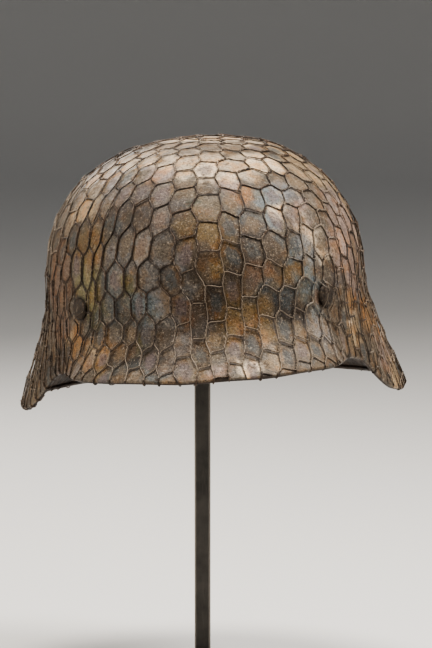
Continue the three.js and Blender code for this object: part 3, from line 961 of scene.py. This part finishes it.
def wires_piece(name, lanes):
    """Wires as round curves, made into one mesh."""
    curve = bpy.data.curves.new(name, "CURVE")
    curve.dimensions = "3D"
    curve.bevel_depth = WIRE_RADIUS
    curve.bevel_resolution = 1
    curve.use_fill_caps = True
    for lane in lanes:
        for run in wire_runs(lane):
            spline = curve.splines.new("POLY")
            spline.points.add(len(run) - 1)
            spline.points.foreach_set("co", np.concatenate([run, np.ones((len(run), 1))], 1).ravel())
            spline.use_smooth = True
    piece = bpy.data.objects.new(name, curve)
    bpy.context.scene.collection.objects.link(piece)
    choose(piece)
    bpy.ops.object.convert(target="MESH")
    piece = bpy.context.object
    give_wire_paint(piece)
    put_in_place(piece, helmet_place)
    return piece


LANE_GROUPS = (
    ("net_wires_far_right", -32, -12),
    ("net_wires_right", -12, 0),
    ("net_wires_left", 0, 11),
    ("net_wires_far_left", 11, 32),
)


# Rivets

def rivet_rows():
    inside = -WALL - RIVET["gap"]
    outside = RIVET["gap"]
    head, edge, crest = RIVET["head_radius"], RIVET["head_edge"], RIVET["head_height"] - RIVET["head_edge"]
    rows = [
        (RIVET["washer_radius"] - 0.25, inside - RIVET["washer"]),
        (RIVET["washer_radius"], inside - RIVET["washer"] + 0.25),
        (RIVET["washer_radius"], inside - 0.2),
        (RIVET["washer_radius"] - 0.2, inside),
        (RIVET["shank_radius"], inside),
        (RIVET["shank_radius"], outside),
        (head - 0.2, outside),
        (head, outside + 0.15),
        (head, outside + edge),
    ]
    for step in range(1, 13):
        angle = step / 12.5 * math.pi / 2
        rows.append((head * math.cos(angle), outside + edge + crest * math.sin(angle)))
    return rows


def make_rivet(name, seat, seed):
    """A domed rivet with its head a little rough."""
    rivet = turned(name + "_worn", rivet_rows(), 48)
    points = mesh_points(rivet.data)
    on_head = points[:, 2] > RIVET["gap"] + 0.3
    points[:, 2] += 0.07 * waves(points, 3.2, seed) * on_head
    rivet.data.vertices.foreach_set("co", points.astype(np.float32).ravel())
    put_in_place(rivet, helmet_place @ seat)
    smooth(rivet, 40)
    return rivet


# Materials

def new_material(name):
    material = bpy.data.materials.new(name)
    material.use_nodes = True
    return material, material.node_tree, material.node_tree.nodes["Principled BSDF"]


def put(tree, kind, inputs=(), **settings):
    """Adds a node, with its settings and with values or links on its inputs."""
    node = tree.nodes.new(kind)
    for name, value in settings.items():
        setattr(node, name, value)
    for name, value in dict(inputs).items():
        socket = node.inputs[name]
        if isinstance(value, bpy.types.NodeSocket):
            tree.links.new(value, socket)
        else:
            socket.default_value = value
    return node


def calc(tree, operation, a, b=0.0):
    return put(tree, "ShaderNodeMath", {0: a, 1: b}, operation=operation).outputs[0]


def vector(tree, operation, a, b=(0, 0, 0), c=(0, 0, 0)):
    inputs = {0: a, 1: b}
    if operation == "WRAP":
        inputs[2] = c
    return put(tree, "ShaderNodeVectorMath", inputs, operation=operation).outputs[0]


def measure(tree, operation, a, b=(0, 0, 0)):
    """A number worked out from vectors, such as a length."""
    return put(tree, "ShaderNodeVectorMath", {0: a, 1: b}, operation=operation).outputs["Value"]


def remap(tree, value, low, high, to_low=0.0, to_high=1.0):
    inputs = {"Value": value, "From Min": low, "From Max": high, "To Min": to_low, "To Max": to_high}
    return put(tree, "ShaderNodeMapRange", inputs, interpolation_type="SMOOTHSTEP").outputs[0]


def mix(tree, share, a, b, blend="MIX"):
    node = put(tree, "ShaderNodeMix", data_type="RGBA", blend_type=blend)
    for socket, value in ((node.inputs[0], share), (node.inputs[6], a), (node.inputs[7], b)):
        if isinstance(value, bpy.types.NodeSocket):
            tree.links.new(value, socket)
        else:
            socket.default_value = value
    return node.outputs[2]


def noise(tree, place, scale, detail, roughness, shift=(0, 0, 0)):
    """Cloudy noise from 0 to 1, its scale in features for each millimetre."""
    moved = vector(tree, "ADD", place, shift)
    inputs = {"Vector": moved, "Scale": scale, "Detail": detail, "Roughness": roughness}
    return put(tree, "ShaderNodeTexNoise", inputs).outputs["Fac"]


def lay(tree, colour, other, field, low, high, most=1.0):
    """Lays another colour over a colour, more of it as a field goes from low to high."""
    return mix(tree, remap(tree, field, low, high, 0, most), colour, other)


def shade(tree, colour, factor):
    """The colour with all its parts multiplied by a factor."""
    even = put(tree, "ShaderNodeCombineXYZ", {0: factor, 1: factor, 2: factor}).outputs[0]
    return mix(tree, 1.0, colour, even, "MULTIPLY")


def mesh_value(tree, name, output):
    return put(tree, "ShaderNodeAttribute", attribute_name=name).outputs[output]


def millimetres(tree):
    place = put(tree, "ShaderNodeTexCoord").outputs["Object"]
    return vector(tree, "MULTIPLY", place, (1000, 1000, 1000))


def finish_surface(tree, shader, colour, roughness, metallic, height, distance):
    """Gives the shader its colour, roughness, share of metal and relief."""
    tree.links.new(colour, shader.inputs["Base Color"])
    tree.links.new(roughness, shader.inputs["Roughness"])
    shader.inputs["Metallic"].default_value = metallic
    bump = put(tree, "ShaderNodeBump", {"Height": height, "Strength": 1.0, "Distance": distance})
    tree.links.new(bump.outputs[0], shader.inputs["Normal"])


def cell_of(tree, sheet, moved):
    """For a place on the netting's sheet: how far it is from the nearest wire, and its cell's centre."""
    period = (1.0, math.sqrt(3), 1.0)
    half = (0.5, math.sqrt(3) / 2, 0.5)
    zero = (0.0, 0.0, 0.0)
    place = vector(tree, "SUBTRACT", sheet, (0.5, 0, 0))
    place = vector(tree, "MULTIPLY", place, (1, 1, 0))
    # This sum is greatest at the wound sides' upper ends, least at their lower ends and 0 mid-cell.
    upper = 0.0
    for x, y in ((1, -1 / math.sqrt(3)), (0, 2 / math.sqrt(3)), (-1, -1 / math.sqrt(3))):
        wave = (2 * math.pi * x, 2 * math.pi * y, 0)
        phase = measure(tree, "DOT_PRODUCT", place, wave)
        upper = calc(tree, "ADD", calc(tree, "SINE", phase), upper)
    share = calc(tree, "MULTIPLY", upper, 0.5 / 2.598)
    half_moved = put(tree, "ShaderNodeVectorMath", operation="SCALE", inputs={0: moved, "Scale": share})
    place = vector(tree, "SUBTRACT", place, half_moved.outputs[0])

    def off_centre(spot):
        off = vector(tree, "SUBTRACT", vector(tree, "WRAP", spot, period, zero), half)
        return vector(tree, "MULTIPLY", off, (1, 1, 0))

    first = off_centre(place)
    second = off_centre(vector(tree, "SUBTRACT", place, half))
    nearer = calc(tree, "LESS_THAN", measure(tree, "LENGTH", second), measure(tree, "LENGTH", first))
    # The cells of the first family have their centres half a period off those of the second.
    choice = put(tree, "ShaderNodeMix", data_type="VECTOR")
    tree.links.new(nearer, choice.inputs[0])
    tree.links.new(first, choice.inputs[4])
    tree.links.new(second, choice.inputs[5])
    off = choice.outputs[1]
    centre = vector(tree, "SUBTRACT", place, off)
    centre = vector(tree, "SNAP", vector(tree, "ADD", centre, (0.1, 0.1, 0)), (0.25, 0.25, 1))
    parts = put(tree, "ShaderNodeSeparateXYZ", {0: vector(tree, "ABSOLUTE", off)})
    slanted = calc(
        tree, "ADD",
        calc(tree, "MULTIPLY", parts.outputs[0], 0.5),
        calc(tree, "MULTIPLY", parts.outputs[1], math.sqrt(3) / 2),
    )
    inward = calc(tree, "SUBTRACT", 0.5, calc(tree, "MAXIMUM", parts.outputs[0], slanted))
    return calc(tree, "MULTIPLY", inward, CELL), centre


def camouflage_material():
    material, tree, shader = new_material("camouflage_paint")
    place = millimetres(tree)
    sheet = mesh_value(tree, "net_place", "Vector")
    paint = mesh_value(tree, "paint_with_painted_light", "Color")
    outside = put(tree, "ShaderNodeSeparateXYZ", {0: sheet}).outputs[2]
    moved = mesh_value(tree, "net_shift", "Vector")
    inward, centre = cell_of(tree, sheet, moved)
    random = put(tree, "ShaderNodeTexWhiteNoise", {"Vector": centre}, noise_dimensions="3D")
    draw = put(tree, "ShaderNodeSeparateXYZ", {0: random.outputs["Color"]})
    colour = shade(tree, paint, remap(tree, random.outputs["Value"], 0, 1, 0.70, 1.24))
    # Clouds of ochre and grey a few millimetres across
    cloudy = noise(tree, place, 0.11, 6, 0.62)
    mottled = noise(tree, place, 0.24, 8, 0.7, (70, 0, 0))
    drifted = noise(tree, place, 0.17, 6, 0.65, (0, 0, 130))
    warm = mix(tree, 1.0, colour, (1.12, 0.86, 0.60, 1), "MULTIPLY")
    colour = lay(tree, colour, warm, cloudy, 0.46, 0.62, 0.9)
    cool = mix(tree, 1.0, colour, (0.78, 0.84, 0.95, 1), "MULTIPLY")
    colour = lay(tree, colour, cool, drifted, 0.50, 0.64, 0.9)
    # Blotches in the middle of some cells, where the paint went through the net
    ragged = calc(tree, "ADD", inward, calc(tree, "MULTIPLY", calc(tree, "SUBTRACT", mottled, 0.5), 9.0))
    middle = remap(tree, ragged, 2.4, 4.6)
    slate, plum = (0.055, 0.062, 0.062, 1), (0.12, 0.09, 0.088, 1)
    dark_blotch = lay(tree, slate, plum, draw.outputs[0], 0.45, 0.55)
    share = calc(tree, "MULTIPLY", middle, remap(tree, draw.outputs[1], 0.55, 0.8, 0, 0.72))
    colour = mix(tree, share, colour, dark_blotch)
    share = calc(tree, "MULTIPLY", middle, remap(tree, draw.outputs[2], 0.65, 0.9, 0, 0.5))
    colour = mix(tree, share, colour, mix(tree, 0.65, colour, (0.22, 0.135, 0.06, 1)))
    # Scuffs down to dark primer and pale dust
    colour = lay(tree, colour, (0.055, 0.032, 0.018, 1), mottled, 0.56, 0.66, 0.75)
    dusty = noise(tree, place, 0.42, 7, 0.72, (0, 90, 0))
    pale = mix(tree, 0.55, colour, (0.50, 0.41, 0.31, 1))
    colour = lay(tree, colour, pale, dusty, 0.54, 0.68, 0.75)
    speck = noise(tree, place, 0.8, 6, 0.8)
    colour = lay(tree, colour, (0.028, 0.017, 0.011, 1), speck, 0.53, 0.61, 0.85)
    fleck = noise(tree, place, 1.2, 4, 0.75, (0, 0, 50))
    chalky = mix(tree, 0.7, colour, (0.60, 0.50, 0.39, 1))
    colour = lay(tree, colour, chalky, fleck, 0.58, 0.68, 0.7)
    grainy = noise(tree, place, 0.8, 6, 0.8, (0, 0, 210))
    colour = shade(tree, colour, remap(tree, grainy, 0.32, 0.68, 0.58, 1.38))
    # Painted shade along the wires, with dirt gathered there
    wire_dirt_and_shade = calc(tree, "ADD", inward, calc(tree, "MULTIPLY", calc(tree, "SUBTRACT", dusty, 0.5), 2.6))
    colour = mix(tree, remap(tree, wire_dirt_and_shade, 0.1, 1.35, 0.8, 0), colour, (0.024, 0.015, 0.010, 1))
    # The inner face is painted very dark: dark primer with painted shade inside the hollow.
    inner = lay(tree, (0.016, 0.012, 0.010, 1), (0.045, 0.027, 0.017, 1), cloudy, 0.35, 0.65)
    colour = mix(tree, outside, inner, colour)
    relief = calc(tree, "ADD", calc(tree, "MULTIPLY", speck, -0.6), calc(tree, "MULTIPLY", mottled, -0.8))
    roughness = remap(tree, mottled, 0.3, 0.7, 0.36, 0.70)
    finish_surface(tree, shader, colour, roughness, 0.0, relief, 0.0005)
    shader.inputs["Specular IOR Level"].default_value = 0.32
    return material


def wire_material():
    material, tree, shader = new_material("netting_wire")
    place = millimetres(tree)
    painted = mesh_value(tree, "paint_left", "Fac")
    patchy = noise(tree, place, 0.10, 4, 0.6)
    fine = noise(tree, place, 0.9, 4, 0.65, (20, 0, 0))
    rust = lay(tree, (0.026, 0.017, 0.011, 1), (0.075, 0.042, 0.022, 1), patchy, 0.40, 0.62)
    flecks = noise(tree, place, 0.45, 4, 0.65, (0, 40, 0))
    left = calc(tree, "ADD", calc(tree, "SUBTRACT", flecks, 0.5), calc(tree, "MULTIPLY", painted, 0.42))
    shell_paint = mesh_value(tree, "paint_with_painted_light", "Color")
    faded = mix(tree, 0.45, shell_paint, (0.30, 0.23, 0.165, 1))
    grimy = mix(tree, 0.45, faded, (0.02, 0.014, 0.010, 1))
    dusty = mix(tree, 0.2, faded, (0.55, 0.46, 0.36, 1))
    colour = lay(tree, rust, mix(tree, fine, grimy, dusty), left, 0.12, 0.20)
    colour = lay(tree, colour, (0.024, 0.015, 0.010, 1), fine, 0.54, 0.64, 0.7)
    finish_surface(tree, shader, colour, remap(tree, fine, 0.3, 0.7, 0.38, 0.7), 0.2, fine, 0.0002)
    return material


def rivet_material():
    material, tree, shader = new_material("rivet_steel")
    place = millimetres(tree)
    pits = noise(tree, place, 0.7, 6, 0.7)
    colour = lay(tree, (0.026, 0.019, 0.014, 1), (0.072, 0.050, 0.033, 1), pits, 0.42, 0.62)
    scrapes = noise(tree, place, 0.35, 5, 0.7, (9, 0, 0))
    colour = lay(tree, colour, (0.20, 0.155, 0.11, 1), scrapes, 0.58, 0.68, 0.6)
    finish_surface(tree, shader, colour, remap(tree, pits, 0.3, 0.7, 0.5, 0.85), 0.3, pits, 0.0005)
    return material


def stand_material():
    material, tree, shader = new_material("stand_steel")
    place = millimetres(tree)
    long = vector(tree, "MULTIPLY", place, (1.0, 1.0, 0.06))
    brushed = noise(tree, long, 2.2, 5, 0.7)
    cloudy = noise(tree, place, 0.05, 4, 0.6)
    colour = lay(tree, (0.050, 0.047, 0.043, 1), (0.085, 0.078, 0.070, 1), cloudy, 0.35, 0.65)
    colour = lay(tree, colour, (0.15, 0.135, 0.12, 1), brushed, 0.50, 0.70, 0.35)
    # The chamfered edges are painted lighter: a painted highlight along the post's edges.
    normal = put(tree, "ShaderNodeTexCoord").outputs["Normal"]
    parts = put(tree, "ShaderNodeSeparateXYZ", {0: vector(tree, "ABSOLUTE", normal)})
    edge_highlight = calc(tree, "MULTIPLY", parts.outputs[0], parts.outputs[1])
    colour = lay(tree, colour, (0.30, 0.27, 0.24, 1), edge_highlight, 0.2, 0.45, 0.6)
    finish_surface(tree, shader, colour, remap(tree, brushed, 0.3, 0.7, 0.34, 0.6), 0.85, brushed, 0.00008)
    return material


def dress(piece, material):
    piece.data.materials.clear()
    piece.data.materials.append(material)


# Floor and lights

STAGE_ROWS = ((4.6, 0.0), (5.0, 0.06), (5.3, 0.22), (5.5, 0.5), (5.6, 0.9), (5.6, 2.6))


def make_stage():
    """A round floor whose edge sweeps up into a wall all round."""
    deselect()
    bpy.ops.mesh.primitive_circle_add(vertices=96, radius=STAGE_ROWS[0][0], fill_type="NGON")
    floor = bpy.context.object
    floor.name = "studio_floor"
    bpy.ops.object.mode_set(mode="EDIT")
    bpy.ops.mesh.select_mode(type="EDGE")
    bpy.ops.mesh.select_all(action="SELECT")
    bpy.ops.mesh.region_to_loop()
    extrude_rows(STAGE_ROWS, bpy.ops.mesh.extrude_edges_move)
    bpy.ops.object.mode_set(mode="OBJECT")
    smooth(floor, 60)
    material, _, shader = new_material("studio_paper")
    shader.inputs["Base Color"].default_value = (0.72, 0.71, 0.69, 1)
    shader.inputs["Roughness"].default_value = 0.9
    floor.data.materials.append(material)


# The columns are the lamp's name, azimuth, elevation, distance and size in metres, watts and colour.
LIGHTS = (
    ("softbox_right", 82, 48, 1.3, 0.50, 20, (1.0, 0.96, 0.92)),
    ("softbox_top", 8, 85, 1.2, 0.45, 18, (1.0, 0.95, 0.87)),
    ("softbox_left", -76, 17, 1.3, 0.5, 8.5, (1.0, 0.94, 0.86)),
    ("softbox_behind", -155, 30, 1.4, 0.5, 9, (1.0, 0.95, 0.9)),
    ("softbox_front", -10, 18, 1.9, 0.8, 2.2, (1.0, 0.95, 0.88)),
)
LIGHT_TARGET = (0.0, 0.0, 0.27)


def make_lights():
    for name, azimuth, elevation, distance, size, watts, colour in LIGHTS:
        away = direction(azimuth, elevation)
        data = bpy.data.lights.new(name, "AREA")
        data.shape = "DISK"
        data.size = size
        data.energy = watts
        data.color = colour
        add_facing(name, data, Vector(LIGHT_TARGET) + away * distance, away)
    world = bpy.data.worlds.new("studio")
    world.use_nodes = True
    background = world.node_tree.nodes["Background"]
    background.inputs["Color"].default_value = (0.95, 0.97, 1.0, 1)
    background.inputs["Strength"].default_value = 0.16
    bpy.context.scene.world = world
    bpy.context.scene.view_settings.look = "AgX - Medium High Contrast"


# The object

place_camera()

paint = camouflage_material()
wire = wire_material()
rivet_steel = rivet_material()
stand_steel = stand_material()

shell = make_shell()
put_in_place(shell, helmet_place)
smooth(shell, 50)
dress(shell, paint)
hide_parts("shell")
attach(shell, "root")

for name, first, last in LANE_GROUPS:
    piece = wires_piece(name, range(first, last))
    dress(piece, wire)
    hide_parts("netting")
    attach(piece, "root")

for (name, azimuth, _), seat in zip(RIVET_PLACES, rivet_seats):
    rivet = make_rivet(name, seat, 90 + int(azimuth))
    dress(rivet, rivet_steel)
    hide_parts(name)
    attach(rivet, "root")

for name in ("crown_rest", "post", "base_plate"):
    dress(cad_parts[name], stand_steel)

make_stage()
make_lights()
